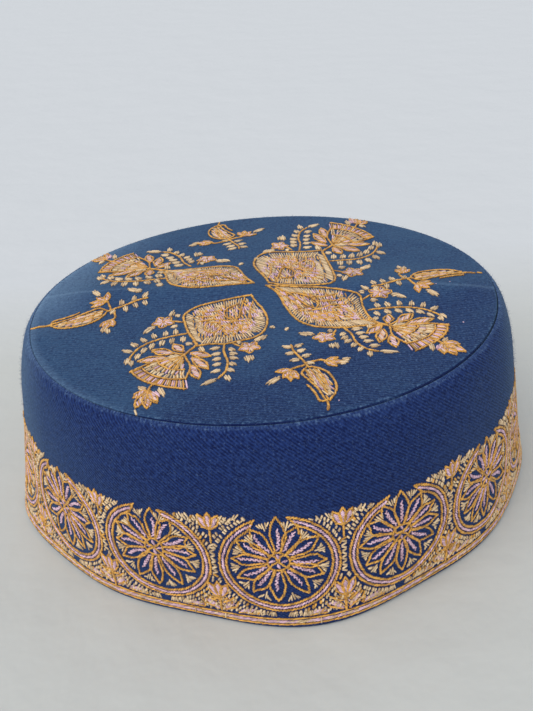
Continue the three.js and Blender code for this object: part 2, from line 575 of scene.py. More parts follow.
def one_stitch():
    points = []
    for along in (-SHOULDER, SHOULDER):
        for side in range(STITCH_SIDES + 1):
            angle = math.pi * side / STITCH_SIDES
            points.append((along, math.cos(angle) * 0.5, math.sin(angle) * CREST))
    points += [(-TIP, 0.0, -TIP_DEPTH), (TIP, 0.0, -TIP_DEPTH)]
    ring = STITCH_SIDES + 1
    faces = []
    for side in range(ring):
        after = (side + 1) % ring
        faces.append((side, after, ring + after, ring + side))
        faces.append((2 * ring, after, side))
        faces.append((ring + side, ring + after, 2 * ring + 1))
    mesh = bpy.data.meshes.new("one_stitch")
    mesh.from_pydata(points, [], faces)
    mesh.update()
    strand = mesh.uv_layers.new(name="strand")
    for polygon in mesh.polygons:
        polygon.use_smooth = True
        for corner in polygon.loop_indices:
            vertex = mesh.loops[corner].vertex_index
            strand.data[corner].uv = (points[vertex][0] + 0.5, (vertex % ring) / STITCH_SIDES)
    return bpy.data.objects.new("one_stitch", mesh)


stitch_object = one_stitch()
print("one stitch has", sum(len(p.vertices) - 2 for p in stitch_object.data.polygons), "triangles")

# %% [markdown]
# ## Laying the stitches on the cloth
# A chart on paper says where each stitch starts and ends. The tree reads those two places on the
# cloth's own chart, finds them on the curved cloth, turns the stitch from one to the other with its
# back to the cloth, and stretches it to fit. So every stitch lies on the cloth, whatever its shape.

# %% The tree that sews
LOFT = 0.58
REACH = 0.35 * MM


def sewing_tree():
    tree, start, end = tree_with_inputs("sew the stitches", {
        "Cloth": wall, "Stitch": stitch_object, "Thread": wall_twill, "Loft": LOFT, "Reach": REACH})
    cloth = shape_of(tree, start, "Cloth")

    def on_cloth(value, spot):
        return make(tree, "GeometryNodeSampleUVSurface", {
            "Mesh": cloth, "Value": value, "Source UV Map": named(tree, "chart"),
            "Sample UV": named(tree, spot)}, data_type="FLOAT_VECTOR")

    def vector(operation, inputs, output=0):
        return make(tree, "ShaderNodeVectorMath", inputs, operation=operation).outputs[output]

    position = make(tree, "GeometryNodeInputPosition").outputs[0]
    normal = make(tree, "GeometryNodeInputNormal").outputs[0]
    first, last = on_cloth(position, "from"), on_cloth(position, "to")
    leans = [on_cloth(normal, spot).outputs["Value"] for spot in ("from", "to")]
    facing = vector("NORMALIZE", {0: vector("ADD", dict(enumerate(leans)))})
    ends = {0: last.outputs["Value"], 1: first.outputs["Value"]}
    ahead = vector("SUBTRACT", ends)
    length = Field(tree, vector("LENGTH", {0: ahead}, "Value"))
    middle = vector("SCALE", {0: vector("ADD", ends), "Scale": 0.5})
    raised = vector("SCALE", {0: facing, "Scale": named(tree, "lift", "FLOAT")})
    sound = make(tree, "FunctionNodeBooleanMath", {
        0: first.outputs["Is Valid"], 1: last.outputs["Is Valid"]}, operation="AND").outputs[0]
    pointed = make(tree, "FunctionNodeAlignRotationToVector", {"Vector": ahead}, axis="X")
    laid = make(tree, "FunctionNodeAlignRotationToVector", {
        "Rotation": pointed.outputs[0], "Vector": facing}, axis="Z", pivot_axis="X")
    breadth = Field(tree, named(tree, "breadth", "FLOAT"))
    stretch = point(tree, length + Field(tree, start.outputs["Reach"]), breadth,
                    breadth * Field(tree, start.outputs["Loft"]))

    # all the fields are stored before the points move, because they are read again afterwards
    kept = start.outputs["Geometry"]
    for label, value, kind in (
            ("turned", laid.outputs[0], "QUATERNION"), ("stretched", stretch, "FLOAT_VECTOR"),
            ("spot", vector("ADD", {0: middle, 1: raised}), "FLOAT_VECTOR"),
            ("sound", sound, "BOOLEAN"), ("long", length, "FLOAT")):
        kept = store(tree, kept, label, value, kind)
    placed = make(tree, "GeometryNodeSetPosition", {"Geometry": kept, "Position": named(tree, "spot")})
    sewn = make(tree, "GeometryNodeInstanceOnPoints", {
        "Points": placed.outputs[0], "Selection": named(tree, "sound", "BOOLEAN"),
        "Instance": shape_of(tree, start, "Stitch"), "Rotation": named(tree, "turned", "QUATERNION"),
        "Scale": named(tree, "stretched")})
    return close_tree(tree, end, sewn.outputs[0], start.outputs["Thread"], dropped=(
        "from", "to", "turned", "stretched", "spot", "sound", "lift", "breadth"))


sewing = sewing_tree()

# %% [markdown]
# ## The three threads
# The threads are a golden ochre, a lilac pink and a warm cream, loosely twisted, with a soft shine.
# Each stitch carries its own shade, because hand-dyed thread varies, and its own chart along the
# strand, on which the twist is drawn as a fine slanting bump, and shade is painted on its sides and both
# ends, where it dives into the cloth.

# %% Thread as a material
TWIST_PITCH = 0.62 * MM


def thread(name, dark_and_shaded, pale_and_lit, tinge):
    """The colours are the thread at its darkest, with shade painted on its sides and ends, at its palest and
    most lit, and where it is soiled.
    """
    material, tree, shader = shader_tree(name)
    along, across, _ = parts_of(tree, make(tree, "ShaderNodeUVMap", uv_map="strand").outputs[0])
    twist = ((along * carried(tree, "long") / TWIST_PITCH + across * 1.1) * TAU).cos() * 0.5 + 0.5
    place = make(tree, "ShaderNodeTexCoord").outputs["Object"]
    fibre = noise(tree, place, 0.35 * MM)
    bump = make(tree, "ShaderNodeBump", {
        "Height": twist * 0.7 + fibre * 0.6, "Distance": 0.12 * MM, "Strength": 0.7})
    # painted shade: the sides of each stitch and both its ends are darker, where it meets the cloth
    crest = (across * (1.0 - across) * 4.0).share() ** 0.6
    painted_end_shade = (along * (1.0 - along) * 5.5).share() ** 0.8
    tone = carried(tree, "shade") * 0.76 + twist * 0.3 + fibre * 0.4
    tone = (tone * (crest * 0.7 + 0.3) * (painted_end_shade * 0.65 + 0.35)).share()

    # the thread on the crown, between 60 and 80 mm up, is painted a little darker, as painted shade against
    # the light it catches facing up
    painted_crown_shade = (parts_of(tree, place)[2] / (20 * MM) - 3.0).share()
    colour = mix(tree, tone * (1.0 - painted_crown_shade * 0.14), (*dark_and_shaded, 1.0), (*pale_and_lit, 1.0))
    soiled = (noise(tree, place, 11 * MM) * 2.2 - 0.95).share() * 0.4
    colour = mix(tree, soiled, colour, (*tinge, 1.0))
    plug(tree, shader, {
        "Base Color": colour, "Normal": bump.outputs[0], "Roughness": 0.58,
        "Specular IOR Level": 0.35, "Sheen Weight": 0.12, "Sheen Roughness": 0.4})
    return material


THREADS = {
    "ochre": thread("ochre_thread", (0.12, 0.040, 0.007), (0.97, 0.505, 0.095), (0.64, 0.27, 0.045)),
    "pink": thread("pink_thread", (0.25, 0.12, 0.18), (0.95, 0.65, 0.80), (0.78, 0.47, 0.38)),
    "cream": thread("cream_thread", (0.24, 0.13, 0.055), (0.96, 0.72, 0.44), (0.86, 0.55, 0.27)),
}

# %% [markdown]
# ## Drafting with a needle
# A maker draws a motif as lines and shapes, and the needle turns each into stitches. A Needle here
# does the same: it takes points of a motif in millimetres, moves them to their place on the cloth,
# walks along the smooth curve through them and writes a stitch at each step. Its own seeded chance
# strays each stitch a little, as a hand does.

# %% Walking along a smooth curve
def smooth_line(points, closed=False, steps=10):
    count = len(points)
    spans = count if closed else count - 1
    line = []
    for span in range(spans):
        if closed:
            a, b, c, d = (points[(span + shift) % count] for shift in (-1, 0, 1, 2))
        else:
            a, b, c, d = (points[min(max(span + shift, 0), count - 1)] for shift in (-1, 0, 1, 2))
        for step in range(steps):
            t = step / steps
            line.append(tuple(
                0.5 * (2 * b[k] + (c[k] - a[k]) * t + (2 * a[k] - 5 * b[k] + 4 * c[k] - d[k]) * t * t
                       + (3 * b[k] - a[k] - 3 * c[k] + d[k]) * t ** 3) for k in (0, 1)))
    line.append(points[0] if closed else points[-1])
    return line


def walk(points, pitch=None, count=None, closed=False):
    """Even steps along the curve through the points: place, and heading as an angle."""
    line = smooth_line(points, closed)
    spans = [math.dist(line[k], line[k + 1]) for k in range(len(line) - 1)]
    whole = sum(spans)
    count = count or max(1, round(whole / pitch))
    steps = []
    span = 0
    passed = 0.0
    for number in range(count):
        goal = whole * (number + 0.5) / count
        while span < len(spans) - 1 and passed + spans[span] < goal:
            passed += spans[span]
            span += 1
        share = (goal - passed) / max(spans[span], 1e-9)
        (x0, y0), (x1, y1) = line[span], line[span + 1]
        steps.append((x0 + (x1 - x0) * share, y0 + (y1 - y0) * share, math.atan2(y1 - y0, x1 - x0)))
    return steps


def inside(outline, x, y):
    crossings = 0
    for (x0, y0), (x1, y1) in zip(outline, outline[1:] + outline[:1]):
        if (y0 > y) != (y1 > y) and x < x0 + (x1 - x0) * (y - y0) / (y1 - y0):
            crossings += 1
    return crossings % 2 == 1


# %% The needle and its plain stitches
INITIALS = {"o": "ochre", "p": "pink", "c": "cream"}


class PlainNeedle:
    """Where threads take turns, a word such as "ccp" gives their order: cream, cream, pink."""

    def __init__(self, seed, place=lambda point: point):
        self.chance = random.Random(seed)
        self.place = place
        self.sewn = []

    def stray(self, most):
        return self.chance.uniform(-most, most)

    def stitch(self, thread, start, end, breadth, lift=0.0):
        start = (start[0] + self.stray(0.12), start[1] + self.stray(0.12))
        end = (end[0] + self.stray(0.12), end[1] + self.stray(0.12))
        breadth *= 1.0 + self.stray(0.12)
        shade = self.chance.random()
        self.sewn.append((INITIALS.get(thread, thread), start, end, breadth, lift, shade))

    def turned(self, thread, x, y, angle, length, breadth, lift=0.0):
        dx = math.cos(angle) * length / 2
        dy = math.sin(angle) * length / 2
        self.stitch(thread, (x - dx, y - dy), (x + dx, y + dy), breadth, lift)

    def rope(self, thread, points, breadth=0.7, pitch=0.9, length=1.5, lean=0.2, closed=False, lift=0.0):
        """A line of stem stitch: each stitch starts beside the one before it, a little aslant."""
        points = [self.place(point) for point in points]
        for x, y, heading in walk(points, pitch, closed=closed):
            self.turned(thread, x, y, heading + lean, length, breadth, lift)

    def column(self, threads, points, width, breadth=0.66, pitch=0.72, lean=0.6):
        """A narrow bar of slanting satin stitches across a line, in threads that take turns."""
        points = [self.place(point) for point in points]
        length = width / math.sin(lean)
        for step, (x, y, heading) in enumerate(walk(points, pitch)):
            self.turned(threads[step % len(threads)], x, y, heading + lean, length, breadth)

    def ladder(self, thread, one_side, other_side, pitch=1.25, breadth=0.6):
        """Rungs from one line to the other."""
        one_side = [self.place(point) for point in one_side]
        other_side = [self.place(point) for point in other_side]
        rungs = walk(one_side, pitch)
        for (x0, y0, _), (x1, y1, _) in zip(rungs, walk(other_side, count=len(rungs))):
            self.stitch(thread, (x0, y0), (x1, y1), breadth)


# %% [markdown]
# ## Leaves, petals and fields
# Leaves, petals and filled fields come again and again in the motifs, so the needle learns each once.
# They are made of the plain stitches, so they stray as those do, and no two of them are quite alike.

# %% The needle's leaves, petals and fields
class Needle(PlainNeedle):
    def leaf(self, thread, base, tip, width=1.35, breadth=0.74):
        """Three stitches side by side, the middle one longest, so that the leaf swells and has a point."""
        (x0, y0), (x1, y1) = self.place(base), self.place(tip)
        ax, ay = x1 - x0, y1 - y0
        length = math.hypot(ax, ay)
        for side, near, far in ((-0.5, 0.26, 0.76), (0.5, 0.2, 0.84), (0.0, 0.08, 1.04)):
            dx = -ay / length * side * width
            dy = ax / length * side * width
            self.stitch(thread, (x0 + ax * near + dx, y0 + ay * near + dy),
                        (x0 + ax * far + dx * 0.8, y0 + ay * far + dy * 0.8), breadth, 0.0 if side else 0.1)

    def petal(self, base, tip, width, heart="pcpo", rim_breadth=0.62):
        """A pointed petal: two outlines in ochre, and a bar of satin for its heart."""
        (x0, y0), (x1, y1) = self.place(base), self.place(tip)
        length = math.dist((x0, y0), (x1, y1))
        ax, ay = (x1 - x0) / length, (y1 - y0) / length

        def at(share, off):
            return (x0 + ax * share * length - ay * off, y0 + ay * share * length + ax * off)

        held, self.place = self.place, lambda point: point
        for side in (-1, 1):
            rim = [at(0.0, 0.0), at(0.28, side * width * 0.34), at(0.55, side * width * 0.5),
                   at(0.8, side * width * 0.3), at(1.0, 0.0)]
            self.rope("ochre", rim, breadth=rim_breadth, pitch=0.95, lean=0.26 * side, lift=0.08)
        self.column(heart, [at(0.14, 0.0), at(0.5, 0.0), at(0.84, 0.0)], max(width * 0.52, 0.8))
        self.place = held

    def fill(self, outline, threads, rows, step=0.8, breadth=0.64, lean=0.0, lift=0.0):
        """Rows of uneven upright stitches inside an outline, in threads that take turns."""
        left = min(x for x, y in outline)
        right = max(x for x, y in outline)
        low = min(y for x, y in outline)
        high = max(y for x, y in outline)
        y = high - rows / 2
        turn = 0
        while y > low:
            x = left + step / 2
            while x < right:
                if inside(outline, x, y) and self.chance.random() > 0.06:
                    tilt = lean / 2 + self.stray(0.35)
                    self.stitch(threads[turn % len(threads)], self.place((x - tilt, y + rows * 0.5)),
                                self.place((x + tilt, y - rows * 0.5)), breadth, lift)
                turn += 1
                x += step
            turn += 1
            y -= rows


# %% Sewing what a needle has drafted
def sew(name, needle, cloth, thread, wrap=None):
    """One piece for one thread. On the wall, a place past the closing edge comes in on the other side."""
    mesh = bpy.data.meshes.new(name + "_points")
    stitches = [row for row in needle.sewn if row[0] == thread]
    mesh.from_pydata([(0, 0, 0)] * len(stitches), [], [])
    columns = {"from": [], "to": [], "breadth": [], "lift": [], "shade": []}
    for _, start, end, breadth, lift, shade in stitches:
        for label, (x, y) in (("from", start), ("to", end)):
            if wrap:
                x = (x - wrap[0]) % (wrap[1] - wrap[0]) + wrap[0]
            columns[label].extend((x * MM, y * MM, 0.0))
        columns["breadth"].append(breadth * MM)
        columns["lift"].append(lift * MM)
        columns["shade"].append(shade)
    for label, values in columns.items():
        kind, key = ("FLOAT_VECTOR", "vector") if label in ("from", "to") else ("FLOAT", "value")
        mesh.attributes.new(label, kind, "POINT").data.foreach_set(key, values)
    piece = grow(name, sewing, {"Cloth": cloth, "Stitch": stitch_object, "Thread": THREADS[thread],
                                "Loft": LOFT, "Reach": REACH}, mesh)
    faces_each = len(stitch_object.data.polygons)
    print(f"  {len(stitches)} stitches charted, {len(piece.data.polygons) // faces_each} sewn")
    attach(piece, "root")
    thread + "_thread"


# %% [markdown]
# ## The band round the wall
# Fourteen roundels go round the foot of the wall, nearly touching, each a ring of three lines about
# a rosette of twelve petals. The chart is drawn flat: across is the way along the wall from the
# middle of the front roundel, and up is the height above the table, in millimetres.

# %% The band's sizes
GIRTH = WALL["Girth"] / MM
ROUNDELS = 14
SPACING = GIRTH / ROUNDELS
EDGE = (-math.pi - WALL["Front Turn"]) / TAU * GIRTH
WALL_WRAP = (EDGE, EDGE + GIRTH)
RING_HEIGHT = 27.8
RING_SHIFT = 0.3
INNER_RING = 16.95
# each line's thread, its radius, and by how many degrees it stops short of the opening at the top
RING_LINES = (("ochre", 19.4, 0), ("pink", 18.2, 5), ("ochre", INNER_RING, 13))
ROSETTE_HEIGHT = 30.0
PETALS = 12
print("roundels stand", round(SPACING, 2), "mm apart")


# %% The ring of a roundel
def ring(needle, middle):
    stray = needle.stray
    right_end = math.radians(11 + stray(3.5))
    left_end = math.radians(-18 + stray(3.5))

    def ring_spot(radius, angle):
        return (middle + RING_SHIFT + radius * math.sin(angle), RING_HEIGHT + radius * math.cos(angle))

    # the ring is open above the rosette, and its inner line turns outwards there, beside the others
    for thread, radius, shortened in RING_LINES:
        short = math.radians(shortened)
        angles = [right_end + short + (TAU + left_end - right_end - short * 2) * k / 28 for k in range(29)]
        line = [ring_spot(radius + stray(0.12), angle) for angle in angles]
        if radius == INNER_RING:
            line = [ring_spot(19.0, right_end + 0.03)] + line + [ring_spot(19.0, left_end - 0.03)]
        needle.rope(thread, line, breadth=0.66, pitch=1.05, length=1.45, lean=0.4)


# %% The rosette inside it
def rosette(needle, middle):
    stray = needle.stray
    centre = (middle + stray(0.3), ROSETTE_HEIGHT + stray(0.3))

    def spot(radius, angle, off=0.0):
        return (centre[0] + radius * math.cos(angle) - off * math.sin(angle),
                centre[1] + radius * math.sin(angle) + off * math.cos(angle))

    def to_ring(angle):
        """How far the ring's inner line is from the middle of the rosette, in one direction."""
        dx, dy = centre[0] - middle - RING_SHIFT, centre[1] - RING_HEIGHT
        ahead = dx * math.cos(angle) + dy * math.sin(angle)
        return math.sqrt(ahead ** 2 + INNER_RING ** 2 - dx ** 2 - dy ** 2) - ahead

    # each petal has two ochre rims and a feather of short pink stitches that slant by turns
    tips = []
    for petal in range(PETALS):
        angle = math.radians(90 + 30 * petal + stray(4.0))
        reach = min(max(to_ring(angle) - 2.1, 15.2), 17.2) + stray(0.5) + (1.6 if petal == 0 else 0.0)
        tips.append(angle)
        bend = stray(0.8)
        for side in (-1, 1):
            half = side * (2.4 + stray(0.35))
            rim = [spot(3.4, angle, side * 0.8), spot(6.2, angle, half * 0.6 + bend * 0.4),
                   spot(9.4 + stray(0.6), angle, half + bend * 0.6),
                   spot(11.6 + stray(0.5), angle, half * 0.97 + bend * 0.5),
                   spot(reach - 2.2, angle, half * 0.55), spot(reach, angle, 0.0)]
            needle.rope("ochre", rim, breadth=0.64, pitch=1.0, length=1.3, lean=0.34 * side)
        vein = [spot(4.8, angle), spot(8.8, angle, bend), spot(12.4, angle, bend * 0.4)]
        for step, (x, y, heading) in enumerate(walk(vein, 0.68)):
            slant = 0.52 if step % 2 else -0.52
            needle.turned("pink", x, y, heading + slant, 1.75 + stray(0.3), breadth=0.54)

    # a fan of five cream stitches stands in each notch, and the top two reach through the opening
    for angle, after in zip(tips, tips[1:] + [tips[0] + TAU]):
        between = (angle + after) / 2
        wedge = min(to_ring(between) - 1.3, 17.6) + (2.2 if math.sin(between) > 0.9 else 0.0)
        for off in (-2.1, -1.1, 0.0, 1.0, 2.0):
            outer = wedge - abs(off) * 0.25 + stray(0.4)
            needle.stitch("cream", spot(outer, between, off + stray(0.2)),
                          spot(wedge - 3.4 + abs(off) * 0.9 + stray(0.4), between, off * 0.5), breadth=0.64)

    # the eye of the flower: four curls inside a ring, with pink between them
    for turn in (0.8, 2.4, 3.9, 5.5):
        curl = [spot(0.3, turn), spot(2.2, turn + stray(0.5)), spot(4.0, turn)]
        needle.rope("ochre", curl, breadth=0.6, length=1.4, lean=0.3)
    eye = [spot(3.4 + stray(0.4), TAU * k / 8) for k in range(8)]
    needle.rope("ochre", eye, breadth=0.58, pitch=0.95, length=1.4, lean=0.3, closed=True)
    for turn in (0.0, 1.6, 3.1, 4.7):
        needle.column("p", [spot(1.2, turn), spot(2.7, turn)], width=0.8, breadth=0.55, pitch=0.6)


# %% [markdown]
# ## Between the roundels
# Each gap holds a narrow zigzag of cream stitches where the rings come closest, a three-petalled
# flower above it and another below it, and leafy stitches that follow the rings away from it. The
# rows are charted by a rule, because the maker filled the gaps by eye, row after row.

# %% The flowers and the leafy rows of a gap
ROW_LEAN = {(1, 1): 128, (1, -1): 66, (-1, 1): 58, (-1, -1): 72}
ROWS, ROW_RADIUS, ROW_GAP, ROW_SWEEP = 6, 21.1, 1.6, 1.3
GAP_FOOT = 6.2


def three_petals(needle, x, foot, top, spread, width):
    for lean in (-1, 0, 1):
        tip = (x + lean * spread, top - abs(lean) * 0.9)
        needle.petal((x + lean * 0.5, foot), tip, width, heart="p")


def leafy_rows(needle, x, way, top, threads):
    """Short stitches in rows that follow the two rings, up (way 1) or down (way -1) from the waist."""
    stray = needle.stray
    for side in (-1, 1):
        ring_middle = x + side * SPACING / 2
        for row in range(ROWS):
            radius = ROW_RADIUS + ROW_GAP * row
            steps = round(radius * ROW_SWEEP / 1.42)
            for step in range(steps):
                angle = 0.12 + ROW_SWEEP * (step + row * 0.5) / steps + stray(0.018)
                off = side * (ring_middle - side * radius * math.cos(angle) - x) + stray(0.2)
                z = RING_HEIGHT + way * radius * math.sin(angle)
                clear = 0.8 if 19.5 < z < 41.0 else 3.2 if z > 11.5 else 1.0
                if off < clear or z > top - 1.0 or z < GAP_FOOT:
                    continue
                heading = math.radians(ROW_LEAN[way, side]) + stray(0.2)
                px = x + side * off
                dx = math.cos(heading) * 0.62
                dz = math.sin(heading) * 0.62
                needle.stitch(needle.chance.choice(threads), (px - dx, z - dz), (px + dx, z + dz),
                              breadth=0.78 + abs(stray(0.16)))


# %% One whole gap between two roundels
def gap(needle, x):
    stray = needle.stray
    # a loose first layer of all three threads under the lower flower, and the zigzag at the waist
    needle.fill([(x - 9.5, 6.1), (x + 9.5, 6.1), (x + 5.5, 8.8), (x + 3.0, 12.5), (x - 3.0, 12.5),
                 (x - 5.5, 8.8)], "cpoc", rows=1.6, step=0.95, breadth=0.66, lean=1.0, lift=-0.3)
    height, slant = 22.4, 0.45
    while height < 36.5:
        wide = 0.66 + 0.02 * abs(height - 29) ** 1.3
        thread = "ochre" if needle.chance.random() < 0.1 else "cream"
        slant = -slant
        rise = height + slant + stray(0.3)
        needle.stitch(thread, (x - wide, height - slant), (x + wide, rise), breadth=0.78)
        height += 1.2

    # leafy rows fan up along the rings, and a row of short stitches runs along the top edge
    top = 47.2 + stray(0.9)
    leafy_rows(needle, x, 1, top, "c" * 7 + "o")
    for side in (-1, 1):
        along = 2.4
        while along < 10.8:
            high = top - 0.09 * along + stray(0.6) + 0.6 * math.sin(along * 0.9 + x)
            ring_top = RING_HEIGHT + math.sqrt(max(20.6 ** 2 - (SPACING / 2 - along) ** 2, 0.0))
            low = max(high - 2.0 + stray(0.3), ring_top)
            if high - low > 0.5 and needle.chance.random() < 0.88:
                out = along + 1.2 + stray(0.3)
                needle.stitch("cream", (x + side * along, low), (x + side * out, high), breadth=0.64)
            along += 0.98
    three_petals(needle, x, top - 5.6, top + 0.6, 3.1, 2.5)
    needle.rope("ochre", [(x - 2.2, top - 4.9), (x, top - 5.2), (x + 2.2, top - 4.9)], breadth=0.68)
    needle.rope("ochre", [(x, top - 5.0), (x + 0.1, 39.0), (x, 36.6)])

    # the same below, down to the hem lines, round a second flower with two side flowers
    leafy_rows(needle, x, -1, 24.0, "c" * 6 + "o")
    three_petals(needle, x, 12.0, 19.2, 3.3, 2.6)
    needle.rope("ochre", [(x, 12.0), (x + 0.1, 9.0), (x, 5.6)], breadth=0.9, length=1.6)
    needle.rope("ochre", [(x - 2.6, 11.6), (x, 11.0), (x + 2.6, 11.6)])
    for side in (-1, 1):
        def beside(*offs):
            return [(x + side * off, z) for off, z in offs]

        needle.column("p", beside((1.6, 6.4), (3.2, 8.6), (4.8, 9.8)), width=1.5, breadth=0.62, pitch=0.62)
        needle.rope("ochre", beside((1.2, 6.0), (3.0, 7.2), (5.6, 8.4), (6.6, 10.6)), lift=0.1)
        needle.rope("ochre", beside((1.4, 9.8), (3.4, 11.0), (5.2, 12.6)), lift=0.1)
        needle.column("p", beside((7.2, 6.8), (11.4, 7.4)), width=1.3, breadth=0.6, pitch=0.7)
        needle.rope("ochre", beside((6.4, 5.9), (9.0, 6.1), (12.0, 5.9)), breadth=0.66)
        for step in range(9):
            z = 5.9 + stray(0.3)
            along = x + side * (9.6 + step * 0.8)
            across = min((SPACING / 2 - 9.6 - step * 0.8) / 20.3, 1)
            high = min(z + 1.5 + stray(0.5), 27.4 - 20.3 * math.cos(math.asin(across)))
            if high > z + 0.5:
                needle.stitch("cream", (along, z), (along + side * stray(0.8), high), breadth=0.62)


# %% Draft the whole band
rings = Needle(seed=7)
band = Needle(seed=11)
for number in range(ROUNDELS):
    ring(rings, number * SPACING)
    rosette(rings, number * SPACING)
    gap(band, (number + 0.5) * SPACING)
    for side, off in ((-1, 3.4), (-1, 8.2), (1, 3.2), (1, 8.0)):
        spot = number * SPACING + side * off
        for shift in (-1.0, -0.3, 0.4, 1.1):
            tip = (spot + shift * 0.6 + 0.2, 7.3 + 0.06 * off)
            band.stitch("cream", (spot + shift * 1.2, 5.6), tip, breadth=0.64)

# %% The hem lines
# each line's thread, height and breadth: two pink lines, with cream in them, between two in ochre
HEM_LINES = (("ochre", 4.45, 0.6), ("pink", 3.45, 0.5), ("pink", 2.9, 0.5), ("ochre", 1.95, 0.62))
TIES = 22
for thread_name, height, breadth in HEM_LINES:
    for x, y, heading in walk([(EDGE + GIRTH * k / 28, height) for k in range(29)], 1.15):
        wave = 0.12 * math.sin(x / 9.0)
        mixed = band.chance.choice("ppc") if thread_name == "pink" else thread_name
        band.turned(mixed, x, y + wave, heading + 0.16, 1.9, breadth=breadth)
for number in range(TIES):
    tie = EDGE + GIRTH * (number + band.chance.random()) / TIES
    band.stitch("cream", (tie, 1.7), (tie + 0.2, 4.3), breadth=0.56, lift=0.2)
for thread_name in THREADS:
    sew("roundels_" + thread_name, rings, wall, thread_name, WALL_WRAP)
    sew("gaps_and_hem_" + thread_name, band, wall, thread_name, WALL_WRAP)

# %% [markdown]
# ## The crown's sprays
# Four large sprays meet tip to tip at the middle of the crown. Each has a plump curved body with a
# laddered border, a half flower with a fringe, a bud on a stem, and two leafy branches. One spray is
# charted in full, in millimetres on the crown's plan, and laid four times, turned and mirrored, as if
# the maker had drawn round one block. The bodies alone differ in outline, so each outline is charted
# for itself, and the stitches of the first body are fitted to it.

# %% How one chart is laid in several places
def laid(origin, at, across, up):
    """Carries a charted point to its place: turned, mirrored or stretched about the origin."""
    def place(point):
        x = point[0] - origin[0]
        y = point[1] - origin[1]
        return (at[0] + x * across[0] + y * up[0], at[1] + x * across[1] + y * up[1])
    return place


def fitted(drawn, wanted):
    """Carries a point inside one outline to the same place inside another (mean value weights)."""
    def place(point):
        if tuple(point) in drawn:
            return wanted[drawn.index(tuple(point))]
        spokes = [(x - point[0], y - point[1]) for x, y in drawn]
        halves = []
        for (ax, ay), (bx, by) in zip(spokes, spokes[1:] + spokes[:1]):
            angle = math.atan2(ax * by - ay * bx, ax * bx + ay * by)
            halves.append(math.tan(angle / 2))
        weights = [(halves[k - 1] + halves[k]) / math.hypot(*spokes[k]) for k in range(len(drawn))]
        whole = sum(weights)
        return tuple(sum(w * spot[axis] for w, spot in zip(weights, wanted)) / whole for axis in (0, 1))
    return place


# where the tip of each spray lies, and which way its chart's across and up run there
SPRAY_TIP = (-4.0, -5.0)
SPRAYS = {
    "front_left": ((-4.0, -5.0), (1.0, 0.0), (0.0, 1.0)),
    "front_right": ((6.8, -9.6), (-1.0, -0.265), (-0.33, 0.81)),
    "back_left": ((-3.3, 4.0), (1.0, 0.35), (0.47, -0.96)),
    "back_right": ((2.2, 2.0), (-0.98, 0.26), (-0.15, -1.27)),
}

# %% The outlines of the four bodies
BODY = [(-4, -4.5), (-9, -5), (-15, -6), (-22, -7.5), (-26, -10), (-28.7, -14), (-28, -20), (-26.5, -27),
        (-24.5, -32), (-23.5, -36.5), (-19, -36), (-14, -36.5), (-8, -35), (-3, -33), (0, -29), (1.2, -22),
        (0, -15), (-2, -10)]
BODIES = {
    "front_right": [
        (2, 1), (7, -0.3), (13, -2), (22, -4.2), (30, -7), (35.2, -11), (35.4, -18), (36.3, -24.5), (38, -29),
        (40.5, -32.5), (35, -31.8), (29, -32), (23, -31.2), (17.5, -29.6), (13, -25.8), (10, -20), (7.6, -12),
        (5.8, -5)],
    "back_left": [
        (-2.8, 4.2), (-8, 4.2), (-15, 4), (-24, 4.2), (-30, 6), (-34, 9), (-36, 14), (-37, 20), (-38.4, 25),
        (-40.5, 28.5), (-34.5, 25.8), (-28.5, 26), (-21, 26.8), (-14.5, 27), (-10, 25.2), (-8, 20.5),
        (-6.4, 14), (-4.6, 8)],
    "back_right": [
        (3, 3.4), (7.5, 0.8), (13, -0.8), (20, -1.9), (25.5, -1.6), (27.8, 2), (28, 10), (27.4, 20),
        (26.6, 29), (26, 37.5), (21, 37), (16, 37.4), (10, 38.6), (3.6, 39), (-0.6, 35), (-2.2, 27),
        (-0.8, 19), (1.6, 10)],
}
print("each body is charted with", len(BODY), "points")


# %% The satin and the ladders of a body
# each field's outline, the order of its threads, the height of its rows, and its stitches' lean and breadth
FIELDS = (
    ([(-6, -6.5), (-2.6, -10), (-0.8, -15), (-0.6, -20), (-6.6, -20), (-7.6, -13)],
     "cccopppc", 2.6, 0.9, 0.64),
    ([(-25, -10.5), (-14, -9), (-13.6, -20), (-23, -20)], "pppccco", 2.0, 0.9, 0.64),
    ([(-9.4, -10.5), (-12.2, -13), (-12, -17), (-10.4, -18), (-8.8, -16)], "ccp", 2.4, 0.5, 0.62),
    ([(-16, -20), (-4, -20), (-2.6, -29.5), (-13, -31.5)], "opppcccc", 2.0, 1.0, 0.64),
    ([(-23, -20), (-16, -19.5), (-14.4, -25), (-15, -31), (-21, -31)], "pppoccc", 1.8, -0.5, 0.64))


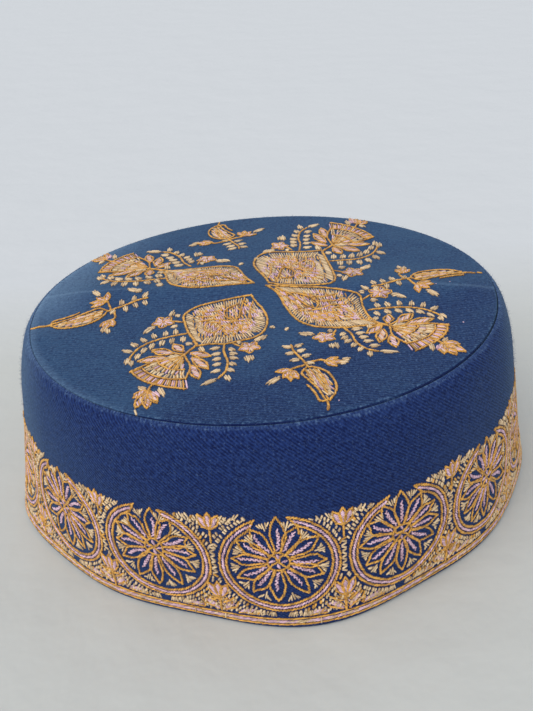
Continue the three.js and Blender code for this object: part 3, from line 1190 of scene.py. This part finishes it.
def satin(needle):
    # a first layer of ochre, which shows through wherever the satin over it parts
    middle = (-14.0, -20.0)
    inner = [(middle[0] + (x - middle[0]) * 0.87, middle[1] + (y - middle[1]) * 0.87) for x, y in BODY]
    needle.fill(inner, "o", rows=2.6, step=1.1, breadth=0.95, lean=0.4, lift=-0.4)
    for field, threads, rows, lean, breadth in FIELDS:
        needle.fill(field, threads, rows, lean=lean, breadth=breadth)
    # the laddered border, with a second ladder on the full side
    needle.ladder("cream", [(-6, -5.4), (-14, -6.6), (-21, -8.2), (-25.6, -10.6)],
                  [(-7, -9.4), (-14, -10.6), (-20, -12), (-23, -14.4)], pitch=0.98, breadth=0.56)
    needle.ladder("cream", [(-27.6, -12), (-28, -16), (-27.4, -20), (-26, -26.5), (-23.8, -33)],
                  [(-25, -14.6), (-25.2, -18.6), (-24.6, -22.6), (-23.2, -28.6), (-21.4, -34.6)])
    needle.ladder("cream", [(-24.8, -15), (-24.4, -20), (-22.8, -27.5)],
                  [(-22, -17.6), (-21.8, -22.6), (-20.2, -30)])
    needle.ladder("cream", [(-22.6, -35.6), (-19, -35.3), (-14, -35.7), (-8, -34.2), (-3.2, -32.2)],
                  [(-20.4, -31.2), (-17.5, -31), (-13.6, -31.3), (-9, -30.2), (-5.4, -28.6)],
                  pitch=1.0, breadth=0.58)
    needle.ladder("cream", [(-2.2, -31), (0.0, -27.4), (0.6, -22), (-0.6, -15)],
                  [(-5, -27.4), (-3.8, -24), (-3.4, -20), (-3.8, -14)], pitch=1.3)


# %% The ochre lines over the satin
def outlines(needle):
    needle.rope("ochre", BODY[9:] + BODY[:1], breadth=0.68, pitch=0.95, length=1.6, lean=0.3, lift=0.05)
    needle.rope("ochre", BODY[:10], breadth=0.68, pitch=0.95, length=1.6, lean=0.3, lift=0.05)
    for line in ([(-6.4, -6), (-7.4, -10), (-8.2, -15), (-9, -19), (-11.6, -22)],
                 [(-9, -10), (-12.6, -11.6), (-14, -14.4), (-13.4, -18), (-10.6, -20.4)],
                 [(-3.4, -9), (-4.6, -14), (-5, -20)],
                 [(-23.6, -12), (-19, -13.4), (-14.6, -12.8)], [(-24, -15.6), (-19, -16.6), (-14.6, -16)],
                 [(-22.8, -19.4), (-18, -19), (-14, -20.4), (-9, -21.6), (-4.4, -21)],
                 [(-15, -24), (-10, -25), (-4.6, -24.6)], [(-14.6, -27.8), (-10, -28.4), (-5.4, -27.4)],
                 [(-20.6, -22), (-18.4, -20.8), (-16, -22), (-15.4, -25), (-17.4, -28.4), (-20, -27.6),
                  (-20.8, -24.6), (-20.6, -22)]):
        needle.rope("ochre", line, breadth=0.54, pitch=0.95, length=1.4, lean=0.32, lift=0.2)
    for x in (-13.6, -10.6, -7.6):
        needle.petal((x, -30.2), (x + 1.2, -22.8), 2.3, rim_breadth=0.55)


# %% The stem and the dome of the half flower
FOCUS = (-27.5, -42.5)
# each row's near and far radius, first degree, distance between stitches, threads and lift
DOME_ROWS = (
    (3.0, 8.8, 188, 1.1, "o", -0.25), (15.0, 18.2, 204, 1.0, "o", -0.25), (9.2, 14.0, 196, 1.7, "o", -0.25),
    (2.6, 5.4, 186, 0.78, "coc", 0.0), (5.3, 8.5, 189, 0.78, "ccpco", 0.0),
    (9.4, 11.7, 196, 0.98, "cccp", 0.0), (11.9, 14.3, 203, 0.98, "c", 0.0))


def around(radius, degrees):
    turn = math.radians(degrees)
    return (FOCUS[0] + radius * math.cos(turn), FOCUS[1] + radius * math.sin(turn))


def dome(needle):
    stray = needle.stray
    stem = [(-24.5, -33), (-23.6, -35.6), (-26, -39.5), (-27.6, -42)]
    needle.rope("ochre", stem, breadth=0.85, pitch=0.95, length=1.6)
    # rows of stitches that all point at one focus
    for near, far, first, apart, threads, lift in DOME_ROWS:
        span = 273 - first
        steps = round(math.radians(span) * (near + far) / 2 / apart)
        for step in range(steps):
            degrees = first + span * (step + 0.5 + stray(0.25)) / steps
            thread = threads[step % len(threads)]
            needle.stitch(thread, needle.place(around(near + stray(0.4), degrees)),
                          needle.place(around(far + stray(0.4), degrees + stray(3))), breadth=0.74, lift=lift)


# %% The fringe, the lines and the petals of the half flower
def fringe(needle):
    stray = needle.stray
    # ochre bars with pink between them
    for step in range(29):
        degrees = 203.6 + 70 * step / 28
        far = 18.4 + 2.0 * (step / 28) ** 4 + stray(0.3)
        thread = "opcopp"[step % 6]
        far += 0.8 if thread == "o" else -0.3
        needle.stitch(thread, needle.place(around(15.2, degrees)), needle.place(around(far, degrees + 1)),
                      breadth=0.6, lift=0.15 if thread == "o" else 0.0)
    for line in ([around(18.6 + 2.2 * part ** 4, 203.4 + 70 * part) for part in (0, 0.2, 0.4, 0.6, 0.8, 1)],
                 [(-45, -50), (-41.4, -47.4), (-38, -45.4), (-36, -44)],
                 [around(14.7, degrees) for degrees in (204, 218, 232, 246, 260, 274)],
                 [around(9.0 + stray(0.3), degrees) for degrees in (192, 208, 224, 240, 256, 272)],
                 [(-26.6, -57.6), (-25.2, -50), (-26.6, -45), (-27.6, -42)],
                 [around(1.5, 200), around(8.8, 200)], [around(1.5, 218), around(8.8, 217)],
                 [around(1.5, 236), around(8.8, 238)], [around(1.5, 254), around(8.8, 256)]):
        needle.rope("ochre", line, breadth=0.62, pitch=0.95, length=1.35, lean=0.3, lift=0.15)
    for base, tip, width in (((-25.4, -41), (-18.8, -44), 3.5), ((-24.8, -43.8), (-19.4, -52), 3.6),
                             ((-24.8, -49), (-22.4, -57.6), 3.4), ((-28, -39.8), (-31.4, -34), 3.4),
                             ((-31, -40.4), (-38.6, -37), 4.0), ((-33, -43), (-42.8, -43.4), 3.8)):
        needle.petal(base, tip, width)
    needle.rope("ochre", [(-33, -39), (-30, -40.4), (-27.6, -42), (-31, -43.4), (-35.6, -43.6)], breadth=0.68)
    for tip in ((-31, -40.8), (-32.6, -41.4), (-33.4, -42.2), (-33, -43)):
        needle.stitch("cream", needle.place((-28.4, -43)), needle.place(tip), breadth=0.62)


# %% The bud beyond the half flower
def bud(needle, tipped):
    needle.rope("ochre", [(-36, -57.6), (-37.4, -60), (-38, -63), (-38.4, -70)], lift=0.15)
    for base, tip, width in (((-38.2, -62.4), (-41.4, -71.4), 3.2), ((-38.2, -62.8), (-37.8, -72.2), 3.2),
                             ((-38, -62.6), (-35.0, -69.8), 2.8), ((-39, -62), (-42.4, -65.6), 2.4)):
        needle.petal(base, tip, width)
    needle.leaf("cream", (-38.6, -62), (-41.6, -59.6))
    needle.leaf("cream", (-35, -60.6), (-33, -66.4))
    needle.leaf("pink", (-37, -63), (-34.4, -66.4))
    if tipped:
        needle.leaf("cream", (-42.6, -72.2), (-41.2, -75.8), width=1.8, breadth=0.9)


# %% Where the leaves of the branches start and end
LEAF_PAIRS = (
    ((-31, -27.4), (-31.2, -23.2)), ((-34.6, -28), (-34.6, -24)), ((-38, -29), (-39.2, -24.8)),
    ((-41, -31), (-43.2, -27.2)), ((-43.6, -33.6), (-46.4, -30.2)), ((-45, -37), (-49, -35)),
    ((-28.4, -28.6), (-28.4, -33)), ((-31.8, -29), (-32.4, -33.2)), ((-35.2, -29.8), (-36, -34.4)),
    ((-38.4, -31.4), (-39.4, -36)), ((-40.8, -34), (-42.2, -38.4)), ((-43, -38), (-43.8, -42)),
    ((-45.4, -42), (-45, -46)), ((-46.6, -40.4), (-47, -44.6)),
    ((-30.4, -20.4), (-33, -21.6)), ((-40, -20.4), (-42.6, -24)), ((-38.4, -20.2), (-41.4, -20.8)),
    ((-27.6, -34), (-25, -35)), ((-22.6, -37), (-21, -41)),
    ((-15.2, -38.6), (-19, -39.6)), ((-15, -42.4), (-18.4, -43.4)), ((-14.8, -45.6), (-18, -46.8)),
    ((-14.8, -49), (-18, -50.2)), ((-15, -53), (-18.4, -54.4)), ((-13, -39.6), (-10.4, -41.4)),
    ((-12.8, -42.8), (-9.8, -44)), ((-12.6, -45.6), (-9.6, -47)), ((-12.8, -49), (-10.2, -51)),
    ((-13.4, -52.6), (-10.8, -55)), ((-16, -58), (-21.4, -61.6)), ((-13.8, -56.4), (-12.4, -60.4)),
    ((-4, -36.8), (-0.6, -33.2)), ((-2.2, -36), (0.6, -33)), ((-7, -45), (-6, -49.8)),
    ((-5.6, -45.4), (-4.8, -48.6)), ((-10, -36.4), (-8.4, -36.2)), ((-33.6, -13.8), (-32.4, -9.4)),
    ((-31.8, -14), (-30, -13)), ((2.4, -28.4), (3, -27.4)),
)
print("the branches of a spray carry up to", len(LEAF_PAIRS), "leaves")


# %% The small flowers and the branches
def small_flower(needle, middle, reach):
    """Five lobes of satin, mostly pink, spread from the middle, and an ochre line goes round them."""
    first = needle.chance.uniform(0, TAU)

    def at(radius, turn):
        lobe = math.cos(5 * turn)
        return (middle[0] + radius * (1 + 0.2 * lobe) * math.cos(turn + first),
                middle[1] + radius * (1 + 0.2 * lobe) * math.sin(turn + first))

    for step in range(20):
        turn = TAU * step / 20
        needle.stitch("pcpo"[step % 4], needle.place(at(0.5, turn)),
                      needle.place(at(reach * 0.96, turn)), breadth=0.72)
    rim = [at(reach * 1.06, TAU * step / 20) for step in range(20)]
    needle.rope("ochre", rim, breadth=0.56, length=1.25, lean=0.3, closed=True)
    needle.stitch("ochre", needle.place(at(0.6, 0.3)), needle.place(at(0.6, 3.4)), breadth=0.7, lift=0.15)


def branches(needle, side_flower, plump):
    for line in ([(-27, -27), (-32, -28), (-38, -30), (-43, -34), (-45.5, -39), (-46, -42)],
                 [(-14, -36), (-14.2, -42), (-13, -48), (-13.6, -54), (-16, -58)],
                 [(-11, -36.6), (-9, -38.8)]):
        needle.rope("ochre", line, breadth=0.66, pitch=0.95, length=1.6, lean=0.3)
    if side_flower:
        needle.rope("ochre", [(-29, -18.4), (-32.4, -17)], breadth=0.66, pitch=0.95, length=1.6)
        small_flower(needle, (-36, -17), 3.2)
    small_flower(needle, (-5.6, -40), 2.9)
    for base, tip in LEAF_PAIRS:
        if side_flower or base[1] < -15:
            needle.leaf("cream", base, tip, width=1.35 * plump, breadth=0.74 * plump)


# %% Draft the four sprays
gathered = Needle(300)
for seed, (spray_name, lay) in enumerate(SPRAYS.items()):
    needle = Needle(100 + seed, fitted(BODY, BODIES.get(spray_name, BODY)))
    satin(needle)
    outlines(needle)
    needle.place = laid(SPRAY_TIP, *lay)
    dome(needle)
    fringe(needle)
    if spray_name == "front_right":
        # here the bud sits a little closer to its flower
        needle.place = laid(SPRAY_TIP, (4.8, -9.6), *lay[1:])
    bud(needle, spray_name == "front_left")
    needle.place = laid(SPRAY_TIP, *lay)
    branches(needle, spray_name != "back_left", 1.25 if "back" in spray_name else 1.0)
    gathered.sewn += needle.sewn
    print(spray_name, "spray:", len(needle.sewn), "stitches charted")

# %% [markdown]
# ## The crown's sprigs
# A small sprig stands in each space between the sprays: a leafy stem, two little flowers, and a long
# bud like a bean pod with a tendril. It too is one chart, turned a quarter for each place.

# %% One sprig
def sprig(needle):
    for line in ([(8.5, -41), (9, -45), (11, -50), (12, -53), (13, -56)],
                 [(12.4, -54.6), (9, -56), (7, -57)], [(12.4, -53.4), (17, -52), (19, -53)]):
        needle.rope("ochre", line, breadth=0.72, lean=0.24)
    for base, tip in (((8.6, -43), (5.4, -41.4)), ((9.4, -46.4), (6.2, -46.4)), ((11, -50.6), (7.4, -51.4)),
                      ((9.2, -42.6), (12.4, -41)), ((9.8, -46), (13, -44.6)), ((11, -49.4), (14.6, -48.2)),
                      ((12.4, -53), (15, -54.2)), ((4, -60), (0, -64.6)), ((3.6, -61), (-0.8, -64)),
                      ((24, -53.4), (27, -52.4)), ((22.6, -54.6), (26, -54.8))):
        needle.leaf("cream", base, tip)
    for tip in ((2.6, -57.6), (4.6, -61.6), (6.8, -63.6), (9.2, -62.6)):
        needle.petal((7.4, -57.4), tip, 2.1, rim_breadth=0.6)
    for tip in ((22.8, -51.4), (24.6, -54.4), (22, -56.4)):
        needle.petal((18.6, -53.2), tip, 2.1, rim_breadth=0.6)
    pod = [(12.8, -57.4), (11.4, -60), (13.4, -64.4), (15.8, -69.4), (17.2, -74.6), (19, -71.6),
           (19.6, -67), (18.2, -61.6), (15.8, -58.2)]
    needle.fill(pod, "oc", rows=2.6, step=0.9, breadth=0.9, lean=1.2, lift=-0.25)
    needle.fill(pod, "cocpc", rows=3.2, step=0.64, breadth=0.62, lean=1.2)
    for line in ([(12.6, -56), (10.6, -59.6), (12.4, -64), (15, -69.6), (16.5, -75.6)],
                 [(13.4, -56), (16.4, -57.4), (19.2, -61), (20.6, -67), (20, -72), (17.8, -76)],
                 [(13.4, -57.6), (14.4, -61), (16, -66), (17.4, -72)], [(14.8, -57.6), (17, -62), (18, -68)],
                 [(17.5, -76), (15, -76), (14, -72.6), (13, -69.4), (11.8, -66.8)]):
        needle.rope("ochre", line, breadth=0.66, lean=0.24, lift=0.12)
    needle.rope("ochre", [(17, -76), (17.2, -78.6), (16.8, -80.8)], breadth=0.8, length=1.6)
    needle.stitch("ochre", needle.place((17.6, -81.8)), needle.place((17.3, -84)), breadth=0.7)


# %% Turn the sprig a quarter for each place, and sew the crown
SPRIG_FORK = (12.0, -53.0)
SPRIGS = {
    "front": ((12.0, -53.0), (1.0, 0.0), (0.0, 1.0)),
    "left": ((-54.6, -3.8), (-0.09, -1.2), (0.965, 0.05)),
    "right": ((52.7, -2.4), (0.07, 1.05), (-1.0, -0.05)),
    "back": ((-11.7, 57.5), (-1.17, -0.13), (-0.03, -0.92)),
}
KNOTS = ((2.7, -28.0), (64.0, -7.0), (69.5, -5.0), (68.0, -34.0), (20.5, -76.5))
for seed, (sprig_name, lay) in enumerate(SPRIGS.items()):
    needle = Needle(200 + seed, laid(SPRIG_FORK, *lay))
    sprig(needle)
    if sprig_name == "left":
        # its tendril runs on to the seam
        needle.rope("ochre", [(16.9, -80.0), (17.2, -82.8)], length=1.6)
    gathered.sewn += needle.sewn
# single pink stitches stand alone here and there
for x, y in KNOTS:
    gathered.turned("pink", x, y, gathered.chance.uniform(0, 3), 0.15, breadth=0.4)
for thread_name in THREADS:
    sew("crown_" + thread_name, gathered, crown, thread_name)

# %% [markdown]
# ## The table, the light and the camera
# The photograph shows the cap on a pale cloth in soft, even daylight, seen from the front and a
# little above. One wide floor stands for the cloth, and behind the cap it is painted slightly lighter
# and bluer, a painted light in place of a lit backdrop. A pale world gives the even light, and one
# broad window, above, in front and to the left, gives it direction.

# %% The floor
FLOOR_HALF = 3.0
FLOOR_NEAR = (0.548, 0.555, 0.540, 1.0)
FLOOR_FAR_PAINTED_LIGHT = (0.605, 0.62, 0.645, 1.0)
floor_material, floor_tree, floor_shader = shader_tree("pale_floor")
floor_place = make(floor_tree, "ShaderNodeTexCoord").outputs["Object"]
# painted light: the floor grows lighter and bluer behind the cap
floor_back_painted_light = (parts_of(floor_tree, floor_place)[1] * 9.0 - 0.9).share()
floor_creases = noise(floor_tree, floor_place, 42 * MM, 4.0)
floor_bump = make(floor_tree, "ShaderNodeBump", {
    "Height": floor_creases, "Distance": 4.0 * MM, "Strength": 0.6})
plug(floor_tree, floor_shader, {
    "Base Color": mix(floor_tree, floor_back_painted_light, FLOOR_NEAR, FLOOR_FAR_PAINTED_LIGHT), "Normal": floor_bump.outputs[0],
    "Roughness": 0.95, "Specular IOR Level": 0.1})
floor_mesh = bpy.data.meshes.new("floor")
floor_mesh.from_pydata([(-FLOOR_HALF, -FLOOR_HALF, 0), (FLOOR_HALF, -FLOOR_HALF, 0),
                        (FLOOR_HALF, FLOOR_HALF, 0), (-FLOOR_HALF, FLOOR_HALF, 0)], [], [(0, 1, 2, 3)])
floor_mesh.materials.append(floor_material)
floor = bpy.data.objects.new("floor", floor_mesh)
scene.collection.objects.link(floor)

# %% Soft light
world = bpy.data.worlds.new("soft_daylight")
scene.world = world
world.use_nodes = True
background = world.node_tree.nodes["Background"]
background.inputs["Color"].default_value = (0.88, 0.94, 1.0, 1.0)
background.inputs["Strength"].default_value = 0.70
LIGHT_FROM = (-0.34, -0.52, 0.78)
sun_data = bpy.data.lights.new("broad_window", "SUN")
sun_data.energy = 1.75
sun_data.angle = math.radians(55)
sun_data.color = (1.0, 0.965, 0.91)
sun = bpy.data.objects.new("broad_window", sun_data)
scene.collection.objects.link(sun)
sun.rotation_euler = Vector(LIGHT_FROM).to_track_quat("Z", "Y").to_euler()

# %% The camera, at the angle of the photograph
CAMERA_REACH = 350.06 * MM
CAMERA_ELEVATION = 0.5077
CAMERA_ROLL = -0.0801
CAMERA_AIM = (-0.125 * MM, 0.0, 51.22 * MM)
FOCAL_PIXELS = 900.0
FRAME_HEIGHT = 711.0
camera_data = bpy.data.cameras.new("camera")
camera_data.sensor_fit = "VERTICAL"
camera_data.sensor_height = 36.0
camera_data.lens = FOCAL_PIXELS / FRAME_HEIGHT * camera_data.sensor_height
camera_data.clip_start = 0.01
camera = bpy.data.objects.new("camera", camera_data)
scene.collection.objects.link(camera)
camera.location = (CAMERA_AIM[0],
                   CAMERA_AIM[1] - CAMERA_REACH * math.cos(CAMERA_ELEVATION),
                   CAMERA_AIM[2] + CAMERA_REACH * math.sin(CAMERA_ELEVATION))
camera.rotation_mode = "XYZ"
tilt = Matrix.Rotation(math.pi / 2 - CAMERA_ELEVATION, 3, "X")
roll = Matrix.Rotation(CAMERA_ROLL, 3, "Z")
camera.rotation_euler = (tilt @ roll).to_euler()
scene.camera = camera
scene.view_settings.view_transform = "Standard"
print("camera at", [round(value / MM) for value in camera.location], "mm, lens", round(camera_data.lens, 2))
